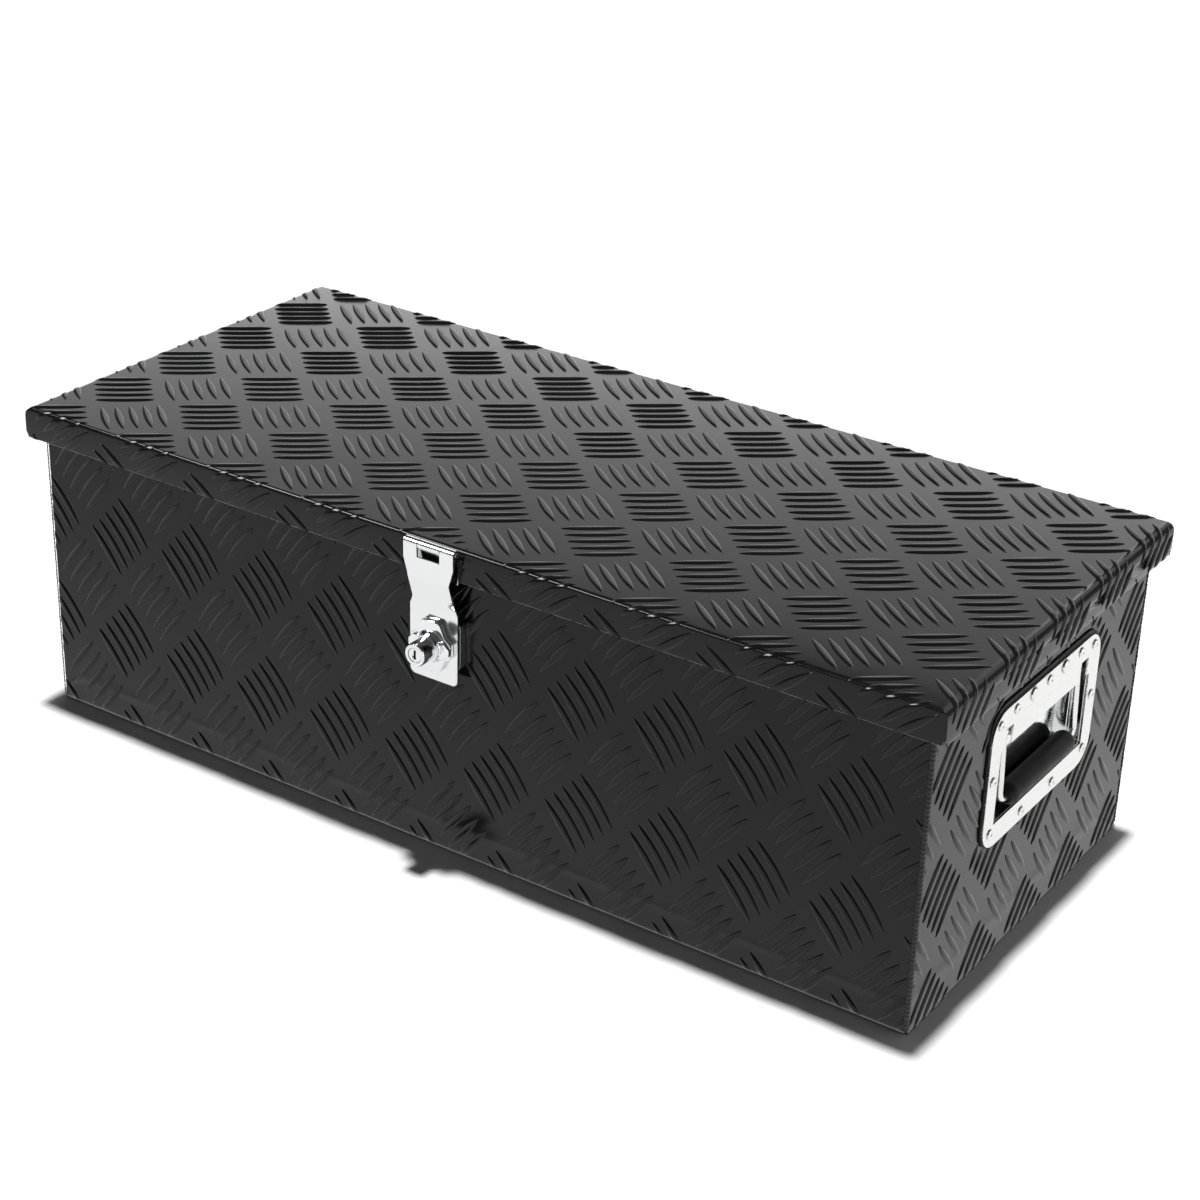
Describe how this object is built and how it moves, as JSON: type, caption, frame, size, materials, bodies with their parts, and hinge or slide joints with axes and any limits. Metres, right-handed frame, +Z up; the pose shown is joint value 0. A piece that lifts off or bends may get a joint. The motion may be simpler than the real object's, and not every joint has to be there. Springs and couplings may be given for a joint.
{
  "type": "truck tool box",
  "caption": "Black tread-plate truck tool box with a hinged overhanging lid, a locking front hasp and recessed grip handles in both ends.",
  "frame": {"origin": "middle of the flat underside of the floor", "axes": "+X along the box to its right end seen from the front, +Y to the hinge side, +Z up"},
  "size_m": [0.762, 0.3582, 0.245],
  "materials": {
    "black_tread": "black coated tread plate, low sheen",
    "black_weld": "black coated weld bead",
    "black_steel": "black coated steel hinge",
    "rubber": "matt black",
    "zinc": "zinc plated",
    "chrome": "polished",
    "stainless": "satin"
  },
  "bodies": {
    "box": {"body_wrap": "black_tread", "end_panel_left": "black_tread", "end_panel_right": "black_tread", "handle_dish_left": "chrome", "handle_dish_right": "chrome", "handle_gasket_left": "rubber", "handle_gasket_right": "rubber", "handle_pivot_tube_left": "stainless", "handle_pivot_tube_right": "stainless", "handle_plate_left": "stainless", "handle_plate_right": "stainless", "hinge_body_leaf": "black_steel", "hinge_pin": "black_steel", "keeper_housing": "chrome", "large_rivet_1_left": "stainless", "large_rivet_1_right": "stainless", "large_rivet_2_left": "stainless", "large_rivet_2_right": "stainless", "rim_seal": "rubber", "rivet_10_left": "stainless", "rivet_10_right": "stainless", "rivet_11_left": "stainless", "rivet_11_right": "stainless", "rivet_1_left": "stainless", "rivet_1_right": "stainless", "rivet_2_left": "stainless", "rivet_2_right": "stainless", "rivet_3_left": "stainless", "rivet_3_right": "stainless", "rivet_4_left": "stainless", "rivet_4_right": "stainless", "rivet_5_left": "stainless", "rivet_5_right": "stainless", "rivet_6_left": "stainless", "rivet_6_right": "stainless", "rivet_7_left": "stainless", "rivet_7_right": "stainless", "rivet_8_left": "stainless", "rivet_8_right": "stainless", "rivet_9_left": "stainless", "rivet_9_right": "stainless", "stay_stud": "zinc", "weld_front_left": "black_weld", "weld_front_right": "black_weld", "weld_rear_left": "black_weld", "weld_rear_right": "black_weld"},
    "lid": {"lid_shell": "black_tread", "hinge_lid_leaf": "black_steel", "hasp_leaf": "chrome", "hasp_pin": "chrome", "stay_bracket": "zinc"},
    "hasp": {"hasp_arm": "chrome"},
    "knob": {"lock_knob": "chrome", "lock_cam": "zinc"},
    "key": {"key_plug": "chrome"},
    "handle_right": {"handle_bail_right": "stainless", "handle_grip_right": "rubber"},
    "handle_left": {"handle_bail_left": "stainless", "handle_grip_left": "rubber"},
    "stay": {"stay_arm": "zinc"}
  },
  "joints": [
    {"name": "lid_open", "type": "hinge", "parent": "box", "child": "lid", "pos_m": [0, 0.1637, 0.2165], "axis": [-1, 0, 0], "range_deg": [0, 95]},
    {"name": "hasp_swing", "type": "hinge", "parent": "lid", "child": "hasp", "pos_m": [-0.0013, -0.1723, 0.2415], "axis": [-1, 0, 0], "range_deg": [0, 120]},
    {"name": "knob_turn", "type": "hinge", "parent": "hasp", "child": "knob", "pos_m": [-0.0013, -0.1698, 0.1683], "axis": [0, -1, 0], "range_deg": [0, 90]},
    {"name": "key_turn", "type": "hinge", "parent": "knob", "child": "key", "pos_m": [-0.0013, -0.18, 0.1683], "axis": [0, -1, 0], "range_deg": [0, 90]},
    {"name": "handle_right_lift", "type": "hinge", "parent": "box", "child": "handle_right", "pos_m": [0.3679, 0, 0.175], "axis": [0, -1, 0], "range_deg": [0, 90]},
    {"name": "handle_left_lift", "type": "hinge", "parent": "box", "child": "handle_left", "pos_m": [-0.3679, 0, 0.175], "axis": [0, 1, 0], "range_deg": [0, 90]},
    {"name": "stay_swing", "type": "hinge", "parent": "lid", "child": "stay", "pos_m": [0.3508, 0.0593, 0.23125], "axis": [1, 0, 0], "range_deg": [0, 47.5]}
  ],
  "couplings": [
    {"joint": "stay_swing", "follows": "lid_open", "ratio": 0.5}
  ]
}
